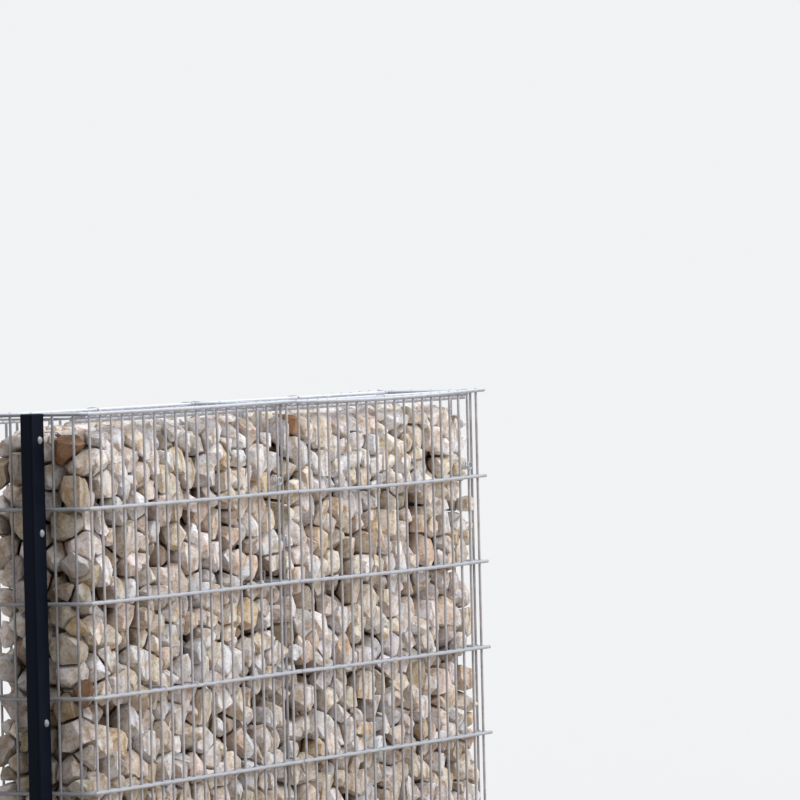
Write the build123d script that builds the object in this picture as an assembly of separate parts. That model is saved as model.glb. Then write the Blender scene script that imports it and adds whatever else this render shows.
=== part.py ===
"""Gabion wall: double-rod mesh cages in two bays, filled with broken limestone, with one box post.

Millimetres. X runs along the wall, Y from the front to the back, Z up from the ground.
The pieces are laid out from the bent corner at the left end of the front mesh, and each one is moved
to the part's own frame when it is written: its origin is the bottom centre of the whole wall's box.
"""
from build123d import *
import math
import os
import random

# Mesh wires
bar_diameter = 6.0
rod_diameter = 8.0
bar_pitch = 50.0
rod_pitch = 200.0
level_count = 6
lowest_rod_height = 30.0
bar_tip_over_rod = 1.0
free_rod_overhang = 30.0

# Cage
bay_count = 2
bars_per_bay = 20
wall_depth = 250.0
inner_bend_radius = 3.0
bar_after_bend = 4.0
cross_mesh_lift = 3.0

# Lid
lid_bar_overhang = 13.0
lid_side_gap = 1.0
lid_drop = 9.0

# Spacer wires between the front and the rear mesh, beside these bars of one bay and on one rod level
spacer_bay = 0
spacer_level = 2
spacer_bars = (6, 9)
spacer_thickness = 4.0
spacer_side_gap = 0.5
spacer_hook_length = 8.0
groove_gap = 0.5

# Stones: V-shaped grooves part each face of the fill into stones, and its top has settled at both ends
stone_width = 72.0
groove_widths = (12.0, 24.0)
groove_depths = (18.0, 36.0)
groove_lean = 14.0
left_settled_reach = 220.0
left_settled_drop = 22.0
right_settled_reach = 85.0
right_settled_drop = 50.0

# Post
post_width = 50.0
post_depth = 25.0
post_wall = 2.0
strip_thickness = 5.0
strip_setback = 82.5
cap_thickness = 3.0

# Wires are hexagonal, with flats where bars and rods are welded to each other
wire_sides = 6
bar_radius = bar_diameter / 2
rod_radius = rod_diameter / 2
bar_corner = bar_radius / math.cos(math.pi / wire_sides)
rod_corner = rod_radius / math.cos(math.pi / wire_sides)

# A mesh has its bars in the middle and a rod on each side of them at every level
rod_offset = bar_radius + rod_radius
mesh_half = bar_radius + rod_diameter
levels = [lowest_rod_height + rod_pitch * i for i in range(level_count)]
mesh_height = levels[-1] + rod_corner + bar_tip_over_rod

# The corner's bars keep their pitch along the bent rods
corner_bend_radius = mesh_half + inner_bend_radius
first_end_bar = corner_bend_radius + bar_after_bend
bend_saving = corner_bend_radius * (2 - math.pi / 2)
first_front_bar = bar_pitch + bend_saving - first_end_bar

# Each bay has its own front panel, and the free rod ends of two panels meet
bay_pitch = bar_pitch * (bars_per_bay - 1) + 2 * free_rod_overhang
first_bars = [first_front_bar + bay_pitch * bay for bay in range(bay_count)]
cross_places = [first + bar_pitch * (bars_per_bay - 1) for first in first_bars]
panel_ends = [place + free_rod_overhang for place in cross_places]

# Clear inside of the cages
inner_front = mesh_half
inner_back = wall_depth - mesh_half
bay_starts = [mesh_half] + [place + mesh_half for place in cross_places[:-1]]
bay_ends = [place - mesh_half for place in cross_places]
lid_bar_height = levels[-1] - lid_drop
fill_height = lid_bar_height - mesh_half

# The post stands against the end mesh, its cover strip set back from the front mesh
post_right = -mesh_half
post_left = post_right - post_width
strip_front = strip_setback
post_front = strip_front + strip_thickness
post_back = post_front + post_depth
post_height = levels[-1]

middle_x = (post_left + panel_ends[-1]) / 2
middle_y = wall_depth / 2


def save(shape, name):
    """Write one piece, moved from the corner's frame to the part's own frame."""
    export_step(Pos(-middle_x, -middle_y, 0) * shape, f"parts/{name}.step")


def wire_section(diameter):
    """The hexagon of a wire, with two flats facing along its plane's X."""
    return RegularPolygon(diameter / 2, wire_sides, major_radius=False, rotation=180 / wire_sides)


def wire(start, end, diameter, flats):
    """A straight wire, with two of its flats facing along the flats direction."""
    start = Vector(*start)
    along = Vector(*end) - start
    plane = Plane(origin=start, x_dir=flats, z_dir=along.normalized())
    return extrude(plane * wire_section(diameter), along.length)


def fuse(pieces):
    """One solid from wires welded at their crossings."""
    return pieces[0].fuse(*pieces[1:])


def block(low, high):
    """A box between two corners."""
    size = [b - a for a, b in zip(low, high)]
    middle = [(a + b) / 2 for a, b in zip(low, high)]
    return Pos(*middle) * Box(*size)


def panel(y, first_bar, start, end):
    """A mesh panel of one bay along the wall, with its bars in the plane y."""
    pieces = []
    for index in range(bars_per_bay):
        x = first_bar + bar_pitch * index
        pieces.append(wire((x, y, 0), (x, y, mesh_height), bar_diameter, (0, 1, 0)))
    for height in levels:
        for side in (-1, 1):
            rod_y = y + side * rod_offset
            pieces.append(wire((start, rod_y, height), (end, rod_y, height), rod_diameter, (0, 1, 0)))
    return fuse(pieces)


def cross_wires(x, bar_places, start, end, lift):
    """The wires of a mesh across the wall in the plane x, with its rods raised by lift."""
    pieces = []
    for y in bar_places:
        pieces.append(wire((x, y, 0), (x, y, mesh_height + lift), bar_diameter, (1, 0, 0)))
    for height in levels:
        for side in (-1, 1):
            rod_x = x + side * rod_offset
            rod_z = height + lift
            pieces.append(wire((rod_x, start, rod_z), (rod_x, end, rod_z), rod_diameter, (1, 0, 0)))
    return pieces


def corner_bends():
    """The quarter turns that carry the end mesh's rods round to the front."""
    turn = Axis((corner_bend_radius, corner_bend_radius, 0), (0, 0, 1))
    bends = []
    for height in levels:
        for side in (-1, 1):
            start = (side * rod_offset, corner_bend_radius, height)
            plane = Plane(origin=start, x_dir=(1, 0, 0), z_dir=(0, -1, 0))
            bends.append(revolve(plane * wire_section(rod_diameter), turn, 90))
    return bends


def left_end():
    """The end face behind the post: its rods run round the corner to the front panel."""
    bar_count = int((inner_back - bar_corner - first_end_bar) // bar_pitch) + 1
    bars = [first_end_bar + bar_pitch * i for i in range(bar_count)]
    wires = cross_wires(0, bars, corner_bend_radius, inner_back, 0)
    return fuse(wires + corner_bends())


def cross_mesh(x):
    """A mesh between the front and the rear panel, its first bar against the front panel's rods."""
    bar_count = int((inner_back - inner_front - 2 * bar_corner) // bar_pitch) + 1
    bars = [inner_front + bar_corner + bar_pitch * i for i in range(bar_count)]
    return fuse(cross_wires(x, bars, inner_front, inner_back, cross_mesh_lift))


def lid(bay):
    """A lid strip lying inside a bay: short bars across, a pair of rods above and below them."""
    left = bay_starts[bay] + lid_side_gap
    right = bay_ends[bay] - lid_side_gap
    front = inner_front + lid_side_gap
    back = inner_back - lid_side_gap
    bar_count = int((right - left - 2 * bar_corner) // bar_pitch) + 1
    first = (left + right - bar_pitch * (bar_count - 1)) / 2
    pieces = []
    for index in range(bar_count):
        x = first + bar_pitch * index
        pieces.append(wire((x, front, lid_bar_height), (x, back, lid_bar_height), bar_diameter, (0, 0, 1)))
    for y in (front + lid_bar_overhang, back - lid_bar_overhang):
        for side in (-1, 1):
            z = lid_bar_height + side * rod_offset
            pieces.append(wire((left, y, z), (right, y, z), rod_diameter, (0, 0, 1)))
    return fuse(pieces)


def spacer_places():
    """Where the spacer wires stand along the wall, each beside a bar."""
    beside = bar_corner + spacer_side_gap + spacer_thickness / 2
    return [first_bars[spacer_bay] + bar_pitch * bar + beside for bar in spacer_bars]


def spacer(x, level):
    """A wire that lies on the rods of both panels and hooks down over their outer rods."""
    left = x - spacer_thickness / 2
    right = x + spacer_thickness / 2
    bottom = level + rod_corner
    top = bottom + spacer_thickness
    hook_bottom = top - spacer_hook_length
    front = -mesh_half
    back = wall_depth + mesh_half
    straight = block((left, front - spacer_thickness, bottom), (right, back + spacer_thickness, top))
    front_hook = block((left, front - spacer_thickness, hook_bottom), (right, front, bottom))
    back_hook = block((left, back, hook_bottom), (right, back + spacer_thickness, bottom))
    return fuse([straight, front_hook, back_hook])


def groove(start, end, inward, chance):
    """A V-shaped groove along a face of the fill."""
    along = end - start
    half = chance.uniform(*groove_widths) / 2
    plane = Plane(origin=start, x_dir=inward, z_dir=along.normalized())
    section = Polygon((0, -half), (chance.uniform(*groove_depths), 0), (0, half), align=None)
    return extrude(plane * section, along.length)


def stone_joints(corner, along, across, inward, chance):
    """The grooves that part a face into two courses of stones, staggered like broken masonry."""
    count = round(along.length / stone_width)
    lean = groove_lean / along.length
    joints = [groove(corner + across / 2, corner + across / 2 + along, inward, chance)]
    for course in range(2):
        for index in range(count):
            share = (index + 0.3 + 0.4 * course) / count
            turn = chance.uniform(-lean, lean)
            low = corner + along * (share - turn) + across * (course / 2)
            high = corner + along * (share + turn) + across * ((course + 1) / 2)
            joints.append(groove(low, high, inward, chance))
    return joints


def settled_wedge(edge, reach, drop):
    """The wedge that is missing over the stones at an end of the wall."""
    corners = [(edge, fill_height), (edge + reach, fill_height), (edge, fill_height - drop)]
    section = Plane.XZ.offset(-middle_y) * Polygon(*corners, align=None)
    return extrude(section, (inner_back - inner_front) / 2, both=True)


def stone_lift(bay, lift):
    """One filled layer of a bay, its faces parted into stones, grooved over any spacer wires below it."""
    bottom = 0 if lift == 0 else levels[lift] + rod_corner
    top = fill_height if lift == level_count - 2 else levels[lift + 1] + rod_corner
    layer = block((bay_starts[bay], inner_front, bottom), (bay_ends[bay], inner_back, top))
    if bay == 0:
        upright_edges = layer.edges().filter_by(Axis.Z)
        bent_corner = upright_edges.sort_by_distance((bay_starts[bay], inner_front, bottom))[0]
        layer = fillet(bent_corner, inner_bend_radius)
    if bay == spacer_bay and lift == spacer_level:
        half = spacer_thickness / 2 + groove_gap
        groove_top = bottom + spacer_thickness + groove_gap
        for x in spacer_places():
            layer = layer - block((x - half, inner_front, bottom), (x + half, inner_back, groove_top))
    chance = random.Random(10 * bay + lift)
    is_top = lift == level_count - 2
    low_front = Vector(bay_starts[bay], inner_front, bottom)
    along = Vector(bay_ends[bay] - bay_starts[bay], 0, 0)
    across = Vector(0, inner_back - inner_front, 0)
    rise = Vector(0, 0, top - bottom)
    joints = stone_joints(low_front, along, rise, Vector(0, 1, 0), chance)
    joints += stone_joints(low_front + across, along, rise, Vector(0, -1, 0), chance)
    if is_top:
        joints += stone_joints(low_front + rise, along, across, Vector(0, 0, -1), chance)
    if bay == 0:
        joints += stone_joints(low_front, across, rise, Vector(1, 0, 0), chance)
        if is_top:
            joints.append(settled_wedge(bay_starts[0], left_settled_reach, left_settled_drop))
    if bay == bay_count - 1:
        joints += stone_joints(low_front + along, across, rise, Vector(-1, 0, 0), chance)
        if is_top:
            joints.append(settled_wedge(bay_ends[-1], -right_settled_reach, right_settled_drop))
    return max((layer - joints).solids(), key=lambda solid: solid.volume)


def box_post():
    """The hollow post."""
    outside = block((post_left, post_front, 0), (post_right, post_back, post_height))
    hollow_low = (post_left + post_wall, post_front + post_wall, 0)
    hollow_high = (post_right - post_wall, post_back - post_wall, post_height)
    return outside - block(hollow_low, hollow_high)


os.makedirs("parts", exist_ok=True)

# Panels along the wall, lids, and the meshes across the wall
front_starts = [corner_bend_radius] + panel_ends[:-1]
rear_starts = [-mesh_half] + panel_ends[:-1]
for bay in range(bay_count):
    save(panel(0, first_bars[bay], front_starts[bay], panel_ends[bay]), f"front_mesh_bay_{bay + 1}")
    save(panel(wall_depth, first_bars[bay], rear_starts[bay], panel_ends[bay]), f"rear_mesh_bay_{bay + 1}")
    save(lid(bay), f"lid_mesh_bay_{bay + 1}")
save(left_end(), "left_end_mesh")
for bay in range(bay_count - 1):
    save(cross_mesh(cross_places[bay]), f"partition_mesh_{bay + 1}")
save(cross_mesh(cross_places[-1]), "right_end_mesh")

# Stone fill in lifts from rod level to rod level, with the spacer wires between two of them
for bay in range(bay_count):
    for lift in range(level_count - 1):
        save(stone_lift(bay, lift), f"stone_lift_bay_{bay + 1}_level_{lift + 1}")
wires = [spacer(x, levels[spacer_level]) for x in spacer_places()]
save(Compound(wires), f"spacer_wires_bay_{spacer_bay + 1}_level_{spacer_level + 1}")

# Post with its cover strip and cap
save(box_post(), "post")
save(block((post_left, strip_front, 0), (post_right, post_front, post_height)), "post_cover_strip")
cap_top = post_height + cap_thickness
save(block((post_left, strip_front, post_height), (post_right, post_back, cap_top)), "post_cap")
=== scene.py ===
"""Gabion wall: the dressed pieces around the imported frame.

Metres. X runs along the wall, Y from the front to the back, Z up from the ground.
"""
import math

import bmesh
import bpy
import numpy as np
from mathutils import Euler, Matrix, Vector, noise


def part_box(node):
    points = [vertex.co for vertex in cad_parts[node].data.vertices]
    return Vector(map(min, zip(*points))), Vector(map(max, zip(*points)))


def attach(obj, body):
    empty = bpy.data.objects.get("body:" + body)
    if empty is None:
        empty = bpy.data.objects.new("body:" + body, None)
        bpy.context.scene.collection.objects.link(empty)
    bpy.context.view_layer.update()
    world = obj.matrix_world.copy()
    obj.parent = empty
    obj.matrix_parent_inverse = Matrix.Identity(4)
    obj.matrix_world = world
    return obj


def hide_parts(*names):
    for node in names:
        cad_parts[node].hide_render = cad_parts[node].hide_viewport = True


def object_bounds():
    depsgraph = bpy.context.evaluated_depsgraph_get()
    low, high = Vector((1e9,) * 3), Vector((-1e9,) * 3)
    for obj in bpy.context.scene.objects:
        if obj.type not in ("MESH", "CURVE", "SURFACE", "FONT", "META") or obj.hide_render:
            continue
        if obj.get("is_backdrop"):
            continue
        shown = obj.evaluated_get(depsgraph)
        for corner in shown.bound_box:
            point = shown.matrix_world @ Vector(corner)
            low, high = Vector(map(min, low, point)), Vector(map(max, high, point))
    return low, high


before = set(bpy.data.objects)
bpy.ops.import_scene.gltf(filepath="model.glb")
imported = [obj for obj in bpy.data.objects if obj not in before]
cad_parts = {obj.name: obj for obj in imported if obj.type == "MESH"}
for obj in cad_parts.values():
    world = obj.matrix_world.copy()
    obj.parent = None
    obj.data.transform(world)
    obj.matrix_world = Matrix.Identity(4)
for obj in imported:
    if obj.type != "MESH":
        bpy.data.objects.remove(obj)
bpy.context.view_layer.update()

# Mesh wires
bar_radius = 0.003
rod_radius = 0.004
bar_pitch = 0.050
rod_pitch = 0.200
lowest_rod = 0.030
level_count = 6
bars_per_bay = 20
bars_across = 5
free_overhang = 0.030
rod_end_gap = 0.0015
bar_foot = 0.0001
bar_points = 25
rod_points = 42
cross_lift = 0.003
bend_clearance = 0.003
corner_bar_gap = 0.004
lid_rod_inset = 0.013
weld_width = 0.0032
weld_height = 0.0034
weld_stand = 0.0016
rod_offset = bar_radius + rod_radius
mesh_half = bar_radius + 2 * rod_radius
levels = [lowest_rod + rod_pitch * i for i in range(level_count)]
bays = (1, 2)

# How far the stones have pushed the panels out, and how far the meshes have settled
panel_bulge = 0.0034
front_settling = {1: 0.0015, 2: 0.0062}
rear_settling = 0.0055
cross_settling = 0.005

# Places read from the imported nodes
front_boxes = {bay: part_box(f"front_mesh_bay_{bay}") for bay in bays}
rear_boxes = {bay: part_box(f"rear_mesh_bay_{bay}") for bay in bays}
end_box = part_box("left_end_mesh")
front_y = (front_boxes[1][0].y + front_boxes[1][1].y) / 2
rear_y = (rear_boxes[1][0].y + rear_boxes[1][1].y) / 2
bar_top = front_boxes[1][1].z
cross_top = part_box("partition_mesh_1")[1].z
panel_ends = {bay: front_boxes[bay][1].x for bay in bays}
cross_places = {bay: panel_ends[bay] - free_overhang for bay in bays}
left_x = end_box[0].x + mesh_half
inner_front = front_y + mesh_half
inner_rear = rear_y - mesh_half

# Stones: their sites in the cage, with widths, margins and overlaps in radii
stone_seed = 40
stone_gap = 0.0015
stone_sizes = (0.017, 0.039)
size_bias = 1.25
upright = np.array([1.0, 1.0, 0.95])
stone_top_clearance = 0.001
fill_share = 1.02
site_width = 1.72
site_margin = 0.80
site_tries = 70
site_overlap = 0.86
neighbours = 20
small_stone = 0.030
small_left_out = 0.38
tight_left_out = 0.10
tight_above = 0.78

# Stones: how each one is broken, and how deep in the fill it still gets an uneven break
stone_stretch = np.array([1.42, 1.12, 0.95])
stretch_range = (0.88, 1.12)
plane_counts = (9, 14)
plane_reach = (0.78, 1.06)
least_offset = 0.006
least_edge = 0.0045
flat_angle = 0.16
longest_edge = 0.016
blunt_edges = (0.0012, 0.0034)
fine_depth = 0.068
swell_scale = 34
swell_depth = 0.0028
chip_scale = 105
chip_depth = 0.0017
break_sink = 0.0014

# Stones: how they meet the cage, where near_face is the distance in radii at which they get an uneven face
cage_gap = 0.0006
least_reach = 0.004
near_face = 1.4
top_lean = 0.3
top_outward = (0.1, 0.9)
top_drop = 0.013
side_leans = (0.18, 0.13)
side_stand = -0.001
side_drops = (0.003, 0.006)
past_the_rods = 0.0065
half_height = 1.3
least_half_height = 0.024
crown_depth = 0.010
crown_width = 0.07
left_dip_depth = 0.022
left_dip_width = 0.22
right_dip_depth = 0.050
right_dip_width = 0.085
full_end_width = 0.05
full_end_below = 0.8
full_end_growth = 1.22

# Stones: tint and shade, with painted light that makes the top stones paler and whiter, painted shade that
# makes the left end darker and browner, and painted shade deep in the gaps
tint_share = 0.90
tint_spread = (1.05, 2.1)
top_light_share = 0.7
top_light_above = {1: 0.92, 2: 0.82}
rusty_tint = 0.97
rusty_places = ((-0.955, -0.105, 0.985), (0.078, -0.108, 0.975))
shade_range = (0.88, 1.10)
# Painted light: the stones' shade at the foot of the wall, and how much it rises to the top.
painted_light_foot = 0.80
painted_light_rise = 0.23
shade_along = 0.05
left_end_width = 0.045
left_end_shade = 0.62
left_end_shade_tint = 0.14
# Painted shade: how deep in the fill the stones start to darken, and over what depth they darken fully.
unshaded_depth = 0.016
gap_shade_fade = 0.036


# Mesh making


class Mesh:
    """Vertices, faces and a number per vertex for each attribute, gathered for one piece."""

    def __init__(self):
        self.vertices = []
        self.faces = []
        self.attributes = {}

    def add(self, vertices, faces, **attributes):
        start = len(self.vertices)
        self.vertices.extend(tuple(v) for v in vertices)
        self.faces.extend(tuple(start + i for i in face) for face in faces)
        for name, value in attributes.items():
            self.attributes.setdefault(name, []).extend(np.broadcast_to(value, len(vertices)).tolist())

    def broad_normals(self):
        """A normal per vertex that leans to the larger faces, so that these look flat and the edges turn."""
        points = np.array(self.vertices)
        triangles = np.array(self.faces)
        first, second, third = (points[triangles[:, k]] for k in range(3))
        normals = np.cross(second - first, third - first)
        normals *= np.linalg.norm(normals, axis=1)[:, None] ** 0.5
        total = np.zeros_like(points)
        for k in range(3):
            np.add.at(total, triangles[:, k], normals)
        return total / np.maximum(np.linalg.norm(total, axis=1)[:, None], 1e-15)

    def piece(self, name, material, slot, *nodes, crisp=False):
        """One object from what was gathered, on the root body, in place of the named nodes."""
        data = bpy.data.meshes.new(name)
        data.from_pydata(self.vertices, [], self.faces)
        for attribute, values in self.attributes.items():
            layer = data.attributes.new(attribute, "FLOAT", "POINT")
            layer.data.foreach_set("value", values)
        data.shade_smooth()
        if crisp:
            data.normals_split_custom_set_from_vertices(self.broad_normals().tolist())
        data.materials.append(material)
        obj = bpy.data.objects.new(name, data)
        bpy.context.scene.collection.objects.link(obj)
        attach(obj, "root")
        if nodes:
            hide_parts(*nodes)
        return obj


def tube(mesh, points, radius, reference, sides=12, end_chamfer=0.0007):
    """A round wire along points, with slightly chamfered cut ends."""
    points = np.asarray(points, float)
    along = np.gradient(points, axis=0)
    along /= np.linalg.norm(along, axis=1)[:, None]
    first = points[0]
    last = points[-1]
    radii = np.full(len(points), radius)
    points = np.vstack([first, first + along[0] * end_chamfer, points[1:-1],
                        last - along[-1] * end_chamfer, last])
    along = np.vstack([along[0], along, along[-1]])
    radii = np.concatenate([[radius - end_chamfer], radii, [radius - end_chamfer]])
    side = np.cross(along, np.asarray(reference, float))
    side /= np.linalg.norm(side, axis=1)[:, None]
    other = np.cross(side, along)
    turns = np.arange(sides) * 2 * math.pi / sides
    vertices = []
    for point, u, v, r in zip(points, side, other, radii):
        for turn in turns:
            vertices.append(point + (u * math.cos(turn) + v * math.sin(turn)) * r)
    faces = []
    for ring in range(len(points) - 1):
        for k in range(sides):
            a = ring * sides + k
            b = ring * sides + (k + 1) % sides
            faces.append((a, a + sides, b + sides, b))
    faces.append(tuple(range(sides)))
    faces.append(tuple(range(len(vertices) - 1, len(vertices) - sides - 1, -1)))
    mesh.add(vertices, faces)


def blob(mesh, center, size, rings=4, sides=8):
    """A small ellipsoid, for a weld."""
    vertices = [Vector(center) + Vector((0, 0, size[2]))]
    for ring in range(1, rings):
        polar = math.pi * ring / rings
        for k in range(sides):
            turn = 2 * math.pi * k / sides
            offset = Vector((math.sin(polar) * math.cos(turn) * size[0],
                             math.sin(polar) * math.sin(turn) * size[1],
                             math.cos(polar) * size[2]))
            vertices.append(Vector(center) + offset)
    vertices.append(Vector(center) - Vector((0, 0, size[2])))
    faces = []
    for k in range(sides):
        faces.append((0, 1 + k, 1 + (k + 1) % sides))
        base = 1 + (rings - 2) * sides
        faces.append((len(vertices) - 1, base + (k + 1) % sides, base + k))
    for ring in range(rings - 2):
        for k in range(sides):
            a = 1 + ring * sides + k
            b = 1 + ring * sides + (k + 1) % sides
            faces.append((a, a + sides, b + sides, b))
    mesh.add(vertices, faces)


# Materials


def new_material(name):
    """A node material with its shader, and a helper that adds a node."""
    material = bpy.data.materials.new(name)
    material.use_nodes = True
    tree = material.node_tree
    shader = tree.nodes["Principled BSDF"]

    def node(kind, **inputs):
        made = tree.nodes.new(kind)
        for key, value in inputs.items():
            made.inputs[key.replace("_", " ")].default_value = value
        return made

    return material, tree, shader, node


def ramp(node, tree, source, stops):
    """A colour ramp fed by source, with stops of place and colour."""
    made = node("ShaderNodeValToRGB")
    elements = made.color_ramp.elements
    elements[0].position, elements[0].color = stops[0][0], (*stops[0][1], 1)
    elements[-1].position, elements[-1].color = stops[-1][0], (*stops[-1][1], 1)
    for place, color in stops[1:-1]:
        elements.new(place).color = (*color, 1)
    tree.links.new(source, made.inputs["Fac"])
    return made.outputs["Color"]


def mix_color(node, tree, kind, factor, first, second):
    """Two colours blended, each a socket or a fixed colour."""
    made = node("ShaderNodeMix")
    made.data_type = "RGBA"
    made.blend_type = kind
    for index, value in ((0, factor), (6, first), (7, second)):
        if isinstance(value, bpy.types.NodeSocket):
            tree.links.new(value, made.inputs[index])
        else:
            made.inputs[index].default_value = value if index == 0 else (*value, 1)
    return made.outputs[2]


def galvanised(name, dark, light, highlight_color, lower=0.66):
    """Zinc coat on wire: dull, with crystals and bloom, and a painted highlight where it faces up.

    The painted highlight is palest on the top wires and dimmer lower down: lower is its share at the foot of
    the wall.
    """
    material, tree, shader, node = new_material(name)
    place = node("ShaderNodeTexCoord").outputs["Object"]
    height = node("ShaderNodeSeparateXYZ")
    tree.links.new(place, height.inputs["Vector"])
    upward = node("ShaderNodeSeparateXYZ")
    tree.links.new(node("ShaderNodeNewGeometry").outputs["Normal"], upward.inputs["Vector"])
    bloom = node("ShaderNodeTexNoise", Scale=38.0, Detail=6.0, Roughness=0.62)
    crystals = node("ShaderNodeTexVoronoi", Scale=260.0)
    tree.links.new(place, bloom.inputs["Vector"])
    tree.links.new(place, crystals.inputs["Vector"])
    base = ramp(node, tree, bloom.outputs["Fac"], [(0.32, dark), (0.68, light)])
    spangle = ramp(node, tree, crystals.outputs["Color"], [(0.0, (0.82,) * 3), (1.0, (1.0,) * 3)])
    color = mix_color(node, tree, "MULTIPLY", 1.0, base, spangle)
    # Painted highlight: the sides that face up are mixed towards a pale colour, by the normal.
    upward_highlight = ramp(node, tree, upward.outputs["Z"], [(0.1, (0.0,) * 3), (0.7, (1.0,) * 3)])
    # Painted light by height: that pale colour is brightest on the top wires and dimmer towards the foot.
    painted_top_light = ramp(node, tree, height.outputs["Z"], [
        (0.2, tuple(lower * c for c in highlight_color)),
        (0.88, tuple((lower + 0.13) * c for c in highlight_color)),
        (0.98, tuple(1.04 * c for c in highlight_color)),
    ])
    highlighted = mix_color(node, tree, "MIX", upward_highlight, color, painted_top_light)
    tree.links.new(highlighted, shader.inputs["Base Color"])
    rough = ramp(node, tree, bloom.outputs["Fac"], [(0.3, (0.34,) * 3), (0.7, (0.52,) * 3)])
    tree.links.new(rough, shader.inputs["Roughness"])
    shader.inputs["Metallic"].default_value = 0.06
    shader.inputs["Specular IOR Level"].default_value = 0.35
    bump = node("ShaderNodeBump", Strength=0.35, Distance=0.0004)
    tree.links.new(bloom.outputs["Fac"], bump.inputs["Height"])
    tree.links.new(bump.outputs["Normal"], shader.inputs["Normal"])
    return material


def limestone():
    """Broken limestone: each stone has its own tint and a shade that is partly painted light, with veins,
    stains and a rough break, and painted shade deep in the gaps.
    """
    material, tree, shader, node = new_material("limestone_broken")
    tint = node("ShaderNodeAttribute")
    tint.attribute_name = "tint"
    shade = node("ShaderNodeAttribute")
    shade.attribute_name = "shade"
    grime = node("ShaderNodeAttribute")
    grime.attribute_name = "grime"
    place = node("ShaderNodeTexCoord").outputs["Object"]
    patches = node("ShaderNodeTexNoise", Scale=42.0, Detail=5.0, Roughness=0.6)
    blotches = node("ShaderNodeTexNoise", Scale=95.0, Detail=4.0, Roughness=0.55)
    grain = node("ShaderNodeTexNoise", Scale=170.0, Detail=6.0, Roughness=0.65)
    grit = node("ShaderNodeTexNoise", Scale=620.0, Detail=3.0, Roughness=0.6)
    for texture in (patches, blotches, grain, grit):
        tree.links.new(place, texture.inputs["Vector"])
    base = ramp(node, tree, tint.outputs["Fac"], [
        (0.0, (0.87, 0.91, 1.0)),
        (0.12, (0.92, 0.93, 0.99)),
        (0.24, (0.92, 0.87, 0.90)),
        (0.36, (0.91, 0.87, 0.82)),
        (0.48, (0.87, 0.84, 0.76)),
        (0.60, (0.88, 0.77, 0.74)),
        (0.72, (0.82, 0.70, 0.54)),
        (0.84, (0.64, 0.59, 0.48)),
        (0.93, (0.58, 0.42, 0.30)),
        (1.0, (0.44, 0.22, 0.12)),
    ])
    stain = ramp(node, tree, patches.outputs["Fac"], [
        (0.36, (0.72, 0.57, 0.41)),
        (0.50, (0.96, 0.92, 0.86)),
        (0.60, (1.0, 1.0, 1.0)),
    ])
    stained = mix_color(node, tree, "MULTIPLY", 0.9, base, stain)
    mottle = ramp(node, tree, blotches.outputs["Fac"], [
        (0.36, (0.72, 0.67, 0.57)),
        (0.46, (1.0, 0.99, 0.97)),
        (0.57, (1.0, 1.0, 1.0)),
        (0.66, (0.91, 0.82, 0.82)),
    ])
    mottled = mix_color(node, tree, "MULTIPLY", 0.85, stained, mottle)
    speckle = ramp(node, tree, grain.outputs["Fac"], [(0.36, (0.74,) * 3), (0.56, (1.0,) * 3)])
    speckled = mix_color(node, tree, "MULTIPLY", 0.75, mottled, speckle)
    # The shade attribute multiplies in random tone, painted light that is paler towards the top, and painted
    # shade at the left end.
    shaded = mix_color(node, tree, "MULTIPLY", 1.0, speckled, shade.outputs["Color"])
    # Painted shade: a dark brown multiplied in where the stones lie deep in the gaps.
    gap_darkening = ramp(node, tree, grime.outputs["Fac"], [(0.0, (1.0, 1.0, 1.0)), (1.0, (0.26, 0.20, 0.16))])
    gap_shaded = mix_color(node, tree, "MULTIPLY", 1.0, shaded, gap_darkening)
    tree.links.new(gap_shaded, shader.inputs["Base Color"])
    shader.inputs["Roughness"].default_value = 0.88
    shader.inputs["Specular IOR Level"].default_value = 0.25
    coarse = node("ShaderNodeBump", Strength=0.8, Distance=0.0022)
    fine = node("ShaderNodeBump", Strength=0.5, Distance=0.0005)
    tree.links.new(grain.outputs["Fac"], coarse.inputs["Height"])
    tree.links.new(grit.outputs["Fac"], fine.inputs["Height"])
    tree.links.new(coarse.outputs["Normal"], fine.inputs["Normal"])
    tree.links.new(fine.outputs["Normal"], shader.inputs["Normal"])
    return material


def coated(name, color, roughness):
    """Powder coat: fine orange peel and a little dust."""
    material, tree, shader, node = new_material(name)
    place = node("ShaderNodeTexCoord").outputs["Object"]
    dust = node("ShaderNodeTexNoise", Scale=9.0, Detail=7.0, Roughness=0.65)
    peel = node("ShaderNodeTexNoise", Scale=900.0, Detail=2.0, Roughness=0.5)
    tree.links.new(place, dust.inputs["Vector"])
    tree.links.new(place, peel.inputs["Vector"])
    pale = tuple(min(1.0, c * 1.3 + 0.002) for c in color)
    base = ramp(node, tree, dust.outputs["Fac"], [(0.4, color), (0.75, pale)])
    tree.links.new(base, shader.inputs["Base Color"])
    rough = ramp(node, tree, dust.outputs["Fac"], [(0.3, (roughness,) * 3), (0.8, (roughness + 0.2,) * 3)])
    tree.links.new(rough, shader.inputs["Roughness"])
    shader.inputs["Specular IOR Level"].default_value = 0.08
    bump = node("ShaderNodeBump", Strength=0.25, Distance=0.0003)
    tree.links.new(peel.outputs["Fac"], bump.inputs["Height"])
    tree.links.new(bump.outputs["Normal"], shader.inputs["Normal"])
    return material


# The third colour of each coat is its painted highlight on the sides that face up.
wire_coat = galvanised("galvanised_wire", (0.37, 0.365, 0.385), (0.56, 0.55, 0.575), (0.60, 0.67, 0.78))
# Painted shade: the left end's coat is a darker copy of the wire's, with a dimmer painted highlight lower
# down.
end_shaded_coat = galvanised(
    "galvanised_end_shaded", (0.20, 0.20, 0.215), (0.31, 0.31, 0.33), (0.56, 0.62, 0.72), lower=0.34)
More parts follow.
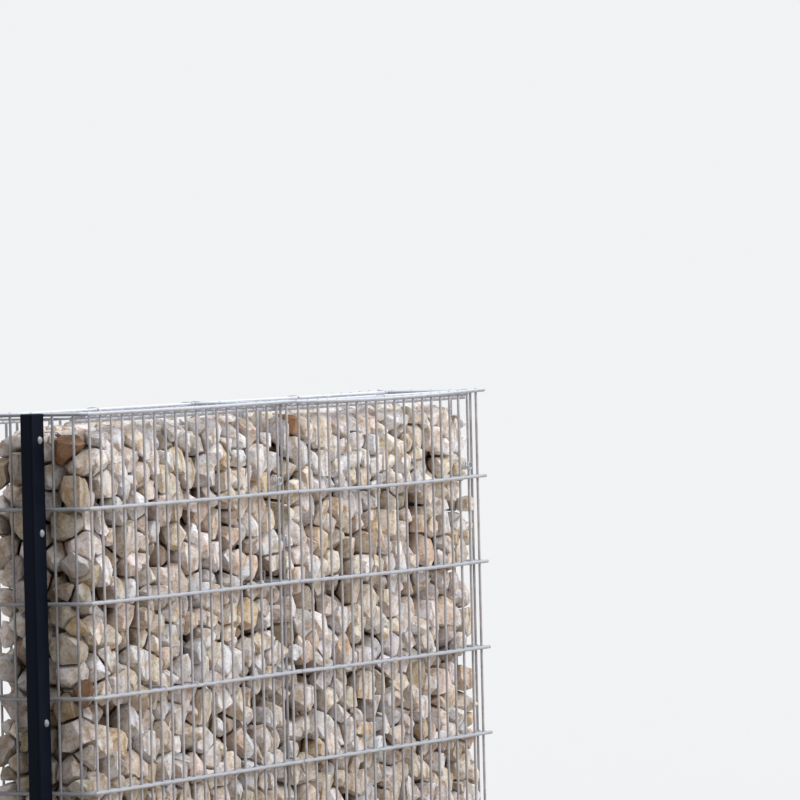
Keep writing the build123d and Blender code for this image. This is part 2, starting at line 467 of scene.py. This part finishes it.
# Painted light: the lids' coat is a paler copy of the wire's, against the top rods' shadow on them.
lid_lit_coat = galvanised("galvanised_lid_lit", (0.52, 0.54, 0.60), (0.72, 0.74, 0.80), (0.76, 0.80, 0.86))
clip_coat = galvanised("galvanised_clip", (0.42, 0.45, 0.50), (0.62, 0.66, 0.72), (0.70, 0.74, 0.80))
bolt_coat = galvanised("galvanised_bolt", (0.25, 0.27, 0.31), (0.36, 0.38, 0.43), (0.42, 0.45, 0.50))
stone_face = limestone()
post_coat = coated("post_coating", (0.0015, 0.0036, 0.0096), 0.5)
cap_plastic = coated("cap_plastic", (0.015, 0.019, 0.028), 0.55)


# Mesh panels

bay_starts = {1: left_x, 2: cross_places[1]}


def bulge(bay, x, z, outward):
    """How far a panel stands out in the middle of its bay, pushed by the stones."""
    along = (x - bay_starts[bay]) / (cross_places[bay] - bay_starts[bay])
    along = min(1.0, max(0.0, along))
    height = 0.55 + 0.45 * math.sin(math.pi * (z / levels[-1]))
    return outward * panel_bulge * math.sin(math.pi * along) * height


def sunk(bay, x, z, outward):
    """How far a panel has settled at a place: most at the top, and at the rear along the whole first bay."""
    along = (x - bay_starts[bay]) / (cross_places[bay] - bay_starts[bay])
    along = min(1.0, max(0.0, along))
    if outward < 0:
        depth = front_settling[bay] * math.sin(math.pi * along)
    else:
        depth = rear_settling if bay == 1 else rear_settling * (1 - along ** 3)
    return depth * (z / levels[-1]) ** 2


def panel(bay, y, start, end, outward):
    """One bay's panel: bars in the middle, a rod on each side at every level, and the welds."""
    mesh = Mesh()
    first = cross_places[bay] - bar_pitch * (bars_per_bay - 1)
    bars = [first + bar_pitch * k for k in range(bars_per_bay)]
    heights = np.linspace(bar_foot, bar_top, bar_points)
    for x in bars:
        points = [(x, y + bulge(bay, x, z, outward), z - sunk(bay, x, z, outward)) for z in heights]
        tube(mesh, points, bar_radius, (1, 0, 0))
    for z in levels:
        for side in (-1, 1):
            points = []
            for x in np.linspace(start, end, rod_points):
                rod_y = y + side * rod_offset + bulge(bay, x, z, outward)
                points.append((x, rod_y, z - sunk(bay, x, z, outward)))
            tube(mesh, points, rod_radius, (0, 0, 1))
            for x in bars:
                weld_y = y + side * bar_radius + bulge(bay, x, z, outward)
                place = (x, weld_y, z - sunk(bay, x, z, outward))
                blob(mesh, place, (weld_width, weld_stand, weld_height))
    return mesh


def cross_wires(mesh, x, bar_places, start, end, lift, top):
    """The bars, rods and welds of a mesh across the wall, settled a little at the top."""
    for y in bar_places:
        tube(mesh, [(x, y, z) for z in np.linspace(0, top - cross_settling, 9)], bar_radius, (1, 0, 0))
    for level in levels:
        z = level - cross_settling * (level / levels[-1]) ** 2
        for side in (-1, 1):
            rod_x = x + side * rod_offset
            points = [(rod_x, y, z + lift) for y in np.linspace(start, end, 9)]
            tube(mesh, points, rod_radius, (0, 0, 1))
            for y in bar_places:
                blob(mesh, (x + side * bar_radius, y, z + lift), (weld_stand, weld_width, weld_height))


bend_radius = mesh_half + bend_clearance
bend_center = (left_x + bend_radius, front_y + bend_radius)
front_starts = {1: bend_center[0], 2: panel_ends[1] + rod_end_gap}
rear_starts = {1: rear_boxes[1][0].x, 2: panel_ends[1] + rod_end_gap}
rod_ends = {1: panel_ends[1] - rod_end_gap, 2: panel_ends[2]}
for bay in bays:
    front = panel(bay, front_y, front_starts[bay], rod_ends[bay], -1)
    front.piece(f"front_panel_{bay}", wire_coat, "galvanised_wire", f"front_mesh_bay_{bay}")
    rear = panel(bay, rear_y, rear_starts[bay], rod_ends[bay], 1)
    rear.piece(f"rear_panel_{bay}", wire_coat, "galvanised_wire", f"rear_mesh_bay_{bay}")

# Left end with the rods bent round the corner
first_end_bar = front_y + bend_radius + corner_bar_gap
end_bars = [first_end_bar + bar_pitch * k for k in range(bars_across)]
end = Mesh()
for y in end_bars:
    tube(end, [(left_x, y, z) for z in np.linspace(0, bar_top, 9)], bar_radius, (1, 0, 0))
for z in levels:
    for side in (-1, 1):
        radius = bend_radius - side * rod_offset
        points = [(left_x + side * rod_offset, y, z) for y in np.linspace(inner_rear, bend_center[1], 8)]
        for turn in np.linspace(0, math.pi / 2, 9)[1:]:
            x = bend_center[0] - radius * math.cos(turn)
            y = bend_center[1] - radius * math.sin(turn)
            points.append((x, y, z))
        tube(end, points, rod_radius, (0, 0, 1))
        for y in end_bars:
            blob(end, (left_x + side * bar_radius, y, z), (weld_stand, weld_width, weld_height))
# The left end takes the darker coat of painted shade.
end.piece("left_end", end_shaded_coat, "galvanised_wire", "left_end_mesh")

# Meshes across the wall
cross_first = inner_front + bar_radius / math.cos(math.pi / 6)
cross_bars = [cross_first + bar_pitch * k for k in range(bars_across)]
for bay, name, node in ((1, "partition", "partition_mesh_1"), (2, "right_end", "right_end_mesh")):
    cross = Mesh()
    cross_wires(cross, cross_places[bay], cross_bars, inner_front, inner_rear, cross_lift, cross_top)
    cross.piece(name, wire_coat, "galvanised_wire", node)

# Lids
for bay in bays:
    low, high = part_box(f"lid_mesh_bay_{bay}")
    lid_z = (low.z + high.z) / 2
    lid = Mesh()
    count = int((high.x - low.x - 2 * bar_radius) // bar_pitch) + 1
    first = (low.x + high.x - bar_pitch * (count - 1)) / 2
    for k in range(count):
        x = first + bar_pitch * k
        tube(lid, [(x, y, lid_z) for y in np.linspace(low.y, high.y, 7)], bar_radius, (0, 0, 1))
        for y in (low.y + lid_rod_inset, high.y - lid_rod_inset):
            for side in (-1, 1):
                blob(lid, (x, y, lid_z + side * bar_radius), (weld_height, weld_width, weld_stand))
    for y in (low.y + lid_rod_inset, high.y - lid_rod_inset):
        for side in (-1, 1):
            points = [(x, y, lid_z + side * rod_offset) for x in np.linspace(low.x, high.x, 30)]
            tube(lid, points, rod_radius, (0, 0, 1))
    # The lids take the paler coat of painted light.
    lid.piece(f"lid_{bay}", lid_lit_coat, "galvanised_wire", f"lid_mesh_bay_{bay}")

# Spacer wires with their hooks
spacer_radius = 0.002
hook_radius = 0.003
hook_lift = 0.0005
straight_margin = 0.01
node = "spacer_wires_bay_1_level_3"
low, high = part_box(node)
top = high.z - spacer_radius
front_line = low.y + spacer_radius
rear_line = high.y - spacer_radius
spacers = Mesh()
for x in (low.x + spacer_radius, high.x - spacer_radius):
    path = [(x, front_line, low.z + hook_lift), (x, front_line, top - hook_radius)]
    for angle in (math.radians(turn) for turn in (30, 60, 90)):
        y = front_line + hook_radius * (1 - math.cos(angle))
        path.append((x, y, top - hook_radius * (1 - math.sin(angle))))
    path += [(x, y, top) for y in np.linspace(front_line + straight_margin, rear_line - straight_margin, 8)]
    for angle in (math.radians(turn) for turn in (90, 60, 30)):
        y = rear_line - hook_radius * (1 - math.cos(angle))
        path.append((x, y, top - hook_radius * (1 - math.sin(angle))))
    path += [(x, rear_line, top - hook_radius), (x, rear_line, low.z + hook_lift)]
    tube(spacers, path, spacer_radius, (1, 0, 0), sides=10)
spacers.piece("spacers", clip_coat, "galvanised_wire", node)


# Coil-ended ties through the fill, beside the last bar but one of each bay
coil_radius = 0.0080
coil_wire = 0.0013
coil_turns = 4.5
coil_pitch = 0.0052
coil_height = 0.856
coil_steps = 18
coil_shift = 0.004
coil_stand = 0.009
tail_start = 0.004
for bay in bays:
    ties = Mesh()
    x = cross_places[bay] - bar_pitch - coil_shift
    for face, inward in ((front_y, 1), (rear_y, -1)):
        start = face - inward * coil_stand
        points = []
        for turn in np.linspace(0, coil_turns, int(coil_turns * coil_steps)):
            angle = 2 * math.pi * turn
            y = start + inward * coil_pitch * turn
            points.append((x + coil_radius * math.sin(angle), y, coil_height + coil_radius * math.cos(angle)))
        tail_y = points[-1][1]
        middle_y = (front_y + rear_y) / 2
        for y in np.linspace(tail_y + inward * tail_start, middle_y, 6):
            points.append((points[-1][0], y, points[-1][2]))
        tube(ties, points, coil_wire, (0, 1, 0.02), sides=8, end_chamfer=0.0003)
    ties.piece(f"coil_ties_{bay}", clip_coat, "galvanised_wire")

# Wire clips that hold the lids to the top rods
clip_wire = 0.0014
clip_turn = 2 * math.pi * 0.94
clip_shifts = (0.004, 0.012, -0.014)
corner_clip_rise = 0.0058
clip_rise = 0.0038
clip_drop = 0.001
clip_spread = 0.002
clip_flatness = 0.7
for bay in bays:
    low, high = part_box(f"lid_mesh_bay_{bay}")
    clips = Mesh()
    rods = ((front_y + rod_offset, low.y + lid_rod_inset), (rear_y - rod_offset, high.y - lid_rod_inset))
    for start, shift in zip((low.x, (low.x + high.x) / 2, high.x), clip_shifts):
        x = start + shift
        rise = corner_clip_rise if x < left_x + bar_pitch else clip_rise
        for rod_y, lid_y in rods:
            middle = (rod_y + lid_y) / 2
            half = abs(lid_y - rod_y) / 2 + rod_radius + clip_wire
            points = []
            for angle in np.linspace(0, clip_turn, 26):
                flat = math.copysign(abs(math.cos(angle)) ** clip_flatness, math.cos(angle))
                clip_z = levels[-1] - clip_drop + rise * math.sin(angle)
                points.append((x + clip_spread * math.sin(angle / 2), middle + half * flat, clip_z))
            tube(clips, points, clip_wire, (1, 0, 0), sides=8, end_chamfer=0.0003)
    clips.piece(f"lid_clips_{bay}", clip_coat, "galvanised_wire")


# Stones


def pack_sites(low, high, rng):
    """Places and sizes for one bay's stones, large ones first, each as close to the others as it fits."""
    volume = float(np.prod(high - low))
    sizes = []
    filled = 0.0
    while filled < volume * fill_share:
        size = rng.uniform(0, 1) ** size_bias * (stone_sizes[1] - stone_sizes[0]) + stone_sizes[0]
        sizes.append(size)
        filled += (site_width * size) ** 3
    sizes.sort(reverse=True)
    places = np.zeros((len(sizes), 3))
    radii = np.array(sizes)
    for index, size in enumerate(sizes):
        margin = size * site_margin
        tries = rng.uniform(low + margin, high - margin, (site_tries, 3))
        if index == 0:
            places[0] = tries[0]
            continue
        apart = np.linalg.norm(tries[:, None] - places[None, :index], axis=2)
        room = (apart - site_overlap * (size + radii[None, :index])).min(axis=1)
        fitting = np.where(room >= 0)[0]
        best = fitting[room[fitting].argmin()] if len(fitting) else room.argmax()
        places[index] = tries[best]
    return places, radii


def random_direction(rng):
    direction = rng.normal(size=3)
    return direction / np.linalg.norm(direction)


def break_planes(size, rng):
    """The planes of one broken stone round its own middle: longer one way, flatter another."""
    axes = np.linalg.qr(rng.normal(size=(3, 3)))[0]
    stretch = size * stone_stretch * rng.uniform(*stretch_range, 3)
    normals = []
    offsets = []
    for _ in range(rng.integers(*plane_counts)):
        normal = random_direction(rng)
        support = np.linalg.norm((axes @ normal) * stretch)
        normals.append(normal)
        offsets.append(support * rng.uniform(*plane_reach))
    return normals, offsets


def corners(normals, offsets):
    """The corners of the solid that lies behind all the planes, from the hull of their dual points."""
    dual = bmesh.new()
    for normal, offset in zip(normals, offsets):
        dual.verts.new(normal / offset)
    bmesh.ops.convex_hull(dual, input=dual.verts)
    dual.normal_update()
    points = []
    for face in dual.faces:
        reach = face.normal.dot(face.verts[0].co)
        if abs(reach) > 1e-6:
            points.append(face.normal / reach)
    dual.free()
    return points


def stone_mesh(points, bevel, fine, rng):
    """Vertices and triangles of one stone: plain deep in the fill, blunt and uneven where it is seen."""
    shape = bmesh.new()
    for point in points:
        shape.verts.new(point)
    bmesh.ops.remove_doubles(shape, verts=shape.verts, dist=least_edge)
    hull = bmesh.ops.convex_hull(shape, input=shape.verts)
    loose = [e for e in hull["geom_interior"] if isinstance(e, bmesh.types.BMVert)]
    bmesh.ops.delete(shape, geom=loose, context="VERTS")
    bmesh.ops.dissolve_limit(shape, angle_limit=flat_angle, verts=shape.verts, edges=shape.edges)
    if fine:
        bmesh.ops.bevel(shape, geom=shape.edges[:] + shape.verts[:], offset=bevel, offset_type="OFFSET",
                        segments=1, profile=0.55, affect="EDGES", clamp_overlap=True)
    bmesh.ops.triangulate(shape, faces=shape.faces)
    if fine:
        long_edges = [e for e in shape.edges if e.calc_length() > longest_edge]
        bmesh.ops.subdivide_edges(shape, edges=long_edges, cuts=1)
        bmesh.ops.triangulate(shape, faces=shape.faces)
        offset = Vector(rng.uniform(-50, 50, 3))
        shape.normal_update()
        for vertex in shape.verts:
            swell = noise.noise(vertex.co * swell_scale + offset)
            chips = noise.noise(vertex.co * chip_scale + offset)
            vertex.co += vertex.normal * (swell_depth * swell + chip_depth * chips - break_sink)
    shape.verts.index_update()
    vertices = np.array([v.co for v in shape.verts])
    faces = [[v.index for v in face.verts] for face in shape.faces]
    shape.free()
    return vertices, faces


def top_dip(bay, place, low, high):
    """How far the fill stays under its lid: lower at the wall's two ends and along the mesh."""
    from_mesh = min(place[1] - low[1], high[1] - place[1])
    crown = crown_depth * max(0.0, 1 - from_mesh / crown_width)
    if bay == 1:
        return crown + left_dip_depth * max(0.0, 1 - (place[0] - low[0]) / left_dip_width)
    return crown + right_dip_depth * max(0.0, 1 - (high[0] - place[0]) / right_dip_width)


def limit_planes(place, size, low, high, rng):
    """The planes that keep a stone inside its cage: the cage itself, and an uneven face close behind it."""
    normals = []
    offsets = []
    for axis in range(3):
        for limit, sign in ((low[axis], -1), (high[axis], 1)):
            normal = np.zeros(3)
            normal[axis] = sign
            reach = sign * (limit - place[axis])
            normals.append(normal)
            offsets.append(max(reach - cage_gap, least_reach))
            if reach > size * near_face:
                continue
            if axis == 2:
                outward = -1 if place[1] < (front_y + rear_y) / 2 else 1
                lean = np.array([rng.normal() * top_lean, outward * rng.uniform(*top_outward), 0.0])
                drop = rng.uniform(0, top_drop)
            else:
                lean = rng.normal(size=3) * side_leans[axis]
                drop = rng.uniform(side_stand, side_drops[axis])
            tilted = normal + lean
            tilted /= np.linalg.norm(tilted)
            normals.append(tilted)
            offsets.append(max(reach * tilted[axis] * sign - drop, least_offset))
    return normals, offsets


def gap_shade_on(vertices, low, high):
    """Painted shade on the stones: none at the cage's faces, dark deep in the gaps."""
    depth = np.minimum(vertices - low, high - vertices)
    depth[:, 2] = high[2] - vertices[:, 2]
    return np.clip((depth.min(axis=1) - unshaded_depth) / gap_shade_fade, 0, 1)


def tint_and_shade(bay, place, is_rusty, low, rng):
    """A stone's place on the limestone's colour ramp and its shade, by chance and by where it lies: painted
    light makes the stones paler towards the top and whiter at the top, they get paler along the wall, and
    painted shade makes the left end darker and browner.
    """
    # Painted light: the top stones get a whiter tint.
    painted_top_light = top_light_share if place[2] > top_light_above[bay] else 1.0
    tint = rusty_tint if is_rusty else tint_share * painted_top_light * rng.beta(*tint_spread)
    # Painted light: the shade grows towards the top; it also grows along the wall.
    shade = rng.uniform(*shade_range) * (painted_light_foot + painted_light_rise * place[2]) * (1 + shade_along * place[0])
    # Painted shade: the left end is darker and browner.
    if bay == 1 and place[0] < low[0] + left_end_width:
        shade *= left_end_shade
        tint = min(tint + left_end_shade_tint, rusty_tint)
    return tint, shade


def fill_bay(bay, low, high, rng):
    """The stones of one bay, one mesh for each lift.

    They are laid out in a bay that upright flattens, and then stretched back, so that they stand upright.
    """
    places, radii = pack_sites(low * upright, high * upright, rng)
    rusty = [np.linalg.norm(places / upright - place, axis=1).argmin() for place in rusty_places
             if low[0] < place[0] < high[0]]
    lifts = [Mesh() for _ in range(level_count - 1)]
    for index, (place, size) in enumerate(zip(places, radii)):
        left_out = tight_left_out if bay == 2 and place[2] > tight_above else small_left_out
        if size < small_stone and rng.uniform() < left_out:
            continue
        normals, offsets = break_planes(size, rng)
        middle = place / upright
        if bay == 2 and high[0] - middle[0] < full_end_width and middle[2] < full_end_below:
            offsets = [full_end_growth * offset for offset in offsets]
        toward = places - place
        apart = np.linalg.norm(toward, axis=1)
        for other in np.argsort(apart)[1:neighbours]:
            normals.append(toward[other] / apart[other])
            reach = (apart[other] ** 2 + size ** 2 - radii[other] ** 2) / (2 * apart[other])
            offsets.append(max(reach - stone_gap, least_offset))
        tall = max(size * half_height, least_half_height)
        between_rods = min(abs(middle[2] - z) for z in levels) > tall + rod_radius
        past_rods = np.array([1.0, 1.0, 0.0]) * (past_the_rods if between_rods else 0.0)
        dip = np.array([0, 0, top_dip(bay, middle, low, high)])
        cage_low = (low - past_rods) * upright
        cage_high = (high + past_rods - dip) * upright
        cage_normals, cage_offsets = limit_planes(place, size, cage_low, cage_high, rng)
        points = corners(normals + cage_normals, offsets + cage_offsets)
        if len(points) < 4:
            continue
        points = [Vector(point / upright) for point in np.array(points)]
        depth = min((middle - low)[:2].min(), (high - middle).min())
        vertices, faces = stone_mesh(points, rng.uniform(*blunt_edges), depth < fine_depth, rng)
        vertices += middle
        vertices[:, 2] = np.maximum(vertices[:, 2], 0)
        lift = int(np.clip((middle[2] - levels[0]) // rod_pitch, 0, level_count - 2))
        tint, shade = tint_and_shade(bay, middle, index in rusty, low, rng)
        lifts[lift].add(vertices, faces, tint=tint, shade=shade, grime=gap_shade_on(vertices, low, high))
    for lift, mesh in enumerate(lifts):
        node = f"stone_lift_bay_{bay}_level_{lift + 1}"
        mesh.piece(f"stones_{bay}_{lift + 1}", stone_face, "limestone", node, crisp=True)


for bay in bays:
    boxes = [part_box(f"stone_lift_bay_{bay}_level_{lift + 1}") for lift in range(level_count - 1)]
    low = np.array((boxes[0][0].x, boxes[0][0].y, 0.0))
    high = np.array((boxes[0][1].x, boxes[0][1].y, boxes[-1][1].z - stone_top_clearance))
    fill_bay(bay, low, high, np.random.default_rng(stone_seed + bay))


# Post: radii of its upright corners, and how far its top and bottom edges are eased
tube_corner = 0.0025
tube_edge = 0.0004
strip_corner = 0.0008
strip_edge = 0.0006
cap_edge = 0.0009
flat_area = 0.0006
flat_slope = 0.9


def rounded_profile(low, high, radius, steps=4):
    """Corner points of a rectangle with round corners, anticlockwise."""
    centers = [(high[0] - radius, low[1] + radius, -90), (high[0] - radius, high[1] - radius, 0),
               (low[0] + radius, high[1] - radius, 90), (low[0] + radius, low[1] + radius, 180)]
    points = []
    for x, y, start in centers:
        for step in range(steps + 1):
            angle = math.radians(start + 90 * step / steps)
            points.append((x + radius * math.cos(angle), y + radius * math.sin(angle)))
    return points


def box_piece(name, node, radius, edge, material, slot):
    """A node's box with round upright edges and eased top and bottom edges."""
    low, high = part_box(node)
    rings = []
    for inset, z in ((edge, low.z), (0, low.z + edge), (0, high.z - edge), (edge, high.z)):
        inner_low = (low.x + inset, low.y + inset)
        inner_high = (high.x - inset, high.y - inset)
        profile = rounded_profile(inner_low, inner_high, radius)
        rings.append([(x, y, z) for x, y in profile])
    count = len(rings[0])
    faces = []
    for ring in range(len(rings) - 1):
        for k in range(count):
            a = ring * count + k
            b = ring * count + (k + 1) % count
            faces.append((a, b, b + count, a + count))
    faces.append(tuple(range(count - 1, -1, -1)))
    faces.append(tuple(range(3 * count, 4 * count)))
    mesh = Mesh()
    mesh.add([point for ring in rings for point in ring], faces)
    obj = mesh.piece(name, material, slot, node)
    obj.data.shade_flat()
    for polygon in obj.data.polygons:
        polygon.use_smooth = polygon.area < flat_area and abs(polygon.normal.z) < flat_slope
    return obj


box_piece("post_tube", "post", tube_corner, tube_edge, post_coat, "post_coating")
box_piece("post_strip", "post_cover_strip", strip_corner, strip_edge, post_coat, "post_coating")
box_piece("post_lid", "post_cap", tube_corner, cap_edge, cap_plastic, "cap_plastic")

# Dome bolt heads on the cover strip: rings of radius and stand from the dome to its foot
bolt_heights = (0.181, 0.381, 0.781, 0.977)
bolt_shift = 0.005
bolt_sides = 28
bolt_crown = 0.0055
bolt_rings = (
    (0.002, 0.0053),
    (0.004, 0.0047),
    (0.006, 0.0036),
    (0.0075, 0.0022),
    (0.0083, 0.0008),
    (0.0083, -0.0005),
)
strip_low, strip_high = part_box("post_cover_strip")
bolt_x = (strip_low.x + strip_high.x) / 2 + bolt_shift
bolts = Mesh()
for z in bolt_heights:
    vertices = []
    faces = []
    for reach, stand in bolt_rings:
        for k in range(bolt_sides):
            turn = 2 * math.pi * k / bolt_sides
            x = bolt_x + reach * math.cos(turn)
            vertices.append((x, strip_low.y - stand, z + reach * math.sin(turn)))
    vertices.append((bolt_x, strip_low.y - bolt_crown, z))
    top = len(vertices) - 1
    for k in range(bolt_sides):
        faces.append((top, k, (k + 1) % bolt_sides))
        for ring in range(len(bolt_rings) - 1):
            a = ring * bolt_sides + k
            b = ring * bolt_sides + (k + 1) % bolt_sides
            faces.append((a, a + bolt_sides, b + bolt_sides, b))
    bolts.add(vertices, faces)
bolts.piece("post_bolts", bolt_coat, "galvanised_wire")


# Stage


def seen_by_camera(tree):
    """A factor that is 1 for what the camera, a reflection or glass sees, and 0 for light that bounces."""
    path = tree.nodes.new("ShaderNodeLightPath")
    factor = path.outputs["Is Camera Ray"]
    for ray in ("Is Glossy Ray", "Is Transmission Ray"):
        adder = tree.nodes.new("ShaderNodeMath")
        adder.operation = "ADD"
        adder.use_clamp = True
        tree.links.new(factor, adder.inputs[0])
        tree.links.new(path.outputs[ray], adder.inputs[1])
        factor = adder.outputs[0]
    return factor


def stage_blend(tree, output, kind, bounced, shown):
    """Two shaders of one kind: one for light that bounces, one for what is seen."""
    blend = tree.nodes.new("ShaderNodeMixShader")
    tree.links.new(seen_by_camera(tree), blend.inputs["Fac"])
    for index, (color, strength) in ((1, bounced), (2, shown)):
        shader = tree.nodes.new(kind)
        shader.inputs["Color"].default_value = (*color, 1)
        if strength is not None:
            shader.inputs["Strength"].default_value = strength
        tree.links.new(shader.outputs[0], blend.inputs[index])
    tree.links.new(blend.outputs[0], output.inputs["Surface"])


sun_direction = Vector((-0.12, 0.92, -1.0)).normalized()
sun_strength = 2.4
sun_angle = 46
sun_color = (0.985, 0.99, 1.0)
sky_color = (1.0, 0.985, 0.975)
sky_strength = 0.66
floor_color = (0.73, 0.74, 0.75)
floor_bounce = (0.50, 0.45, 0.40)
floor_radius = 400

# What is seen beyond the floor has the colour of the floor under this light, so no horizon shows
beyond = tuple(shade * (sun_strength * -sun_direction.z / math.pi * sun + sky_strength * sky)
               for shade, sun, sky in zip(floor_color, sun_color, sky_color))

floor_paint = bpy.data.materials.new("floor")
floor_paint.use_nodes = True
floor_paint.node_tree.nodes.clear()
floor_output = floor_paint.node_tree.nodes.new("ShaderNodeOutputMaterial")
stage_blend(floor_paint.node_tree, floor_output, "ShaderNodeBsdfDiffuse",
            (floor_bounce, None), (floor_color, None))
bpy.ops.mesh.primitive_circle_add(vertices=96, radius=floor_radius, fill_type="NGON")
floor = bpy.context.object
floor.name = "floor"
floor.data.materials.append(floor_paint)
floor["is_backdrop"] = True

scene = bpy.context.scene
scene.view_settings.view_transform = "Standard"
world = bpy.data.worlds.new("world")
scene.world = world
world.use_nodes = True
tree = world.node_tree
tree.nodes.clear()
world_output = tree.nodes.new("ShaderNodeOutputWorld")
stage_blend(tree, world_output, "ShaderNodeBackground", (sky_color, sky_strength), (beyond, 1.0))

sun_data = bpy.data.lights.new("sun", "SUN")
sun_data.energy = sun_strength
sun_data.angle = math.radians(sun_angle)
sun_data.color = sun_color
sun = bpy.data.objects.new("sun", sun_data)
sun.rotation_euler = sun_direction.to_track_quat("-Z", "Y").to_euler()
scene.collection.objects.link(sun)

# Camera, fitted to the rods and bars in the photo
camera_place = (-15.70682, -7.77964, 1.34967)
camera_turn = (88.94546, 1.32167, -64.87618)
camera_lens = 354.892
camera_data = bpy.data.cameras.new("camera")
camera_data.sensor_width = 36.0
camera_data.lens = camera_lens
camera_data.clip_end = 3 * floor_radius
camera = bpy.data.objects.new("camera", camera_data)
camera.location = camera_place
camera.rotation_euler = Euler([math.radians(angle) for angle in camera_turn], "XYZ")
scene.collection.objects.link(camera)
scene.camera = camera

low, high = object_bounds()
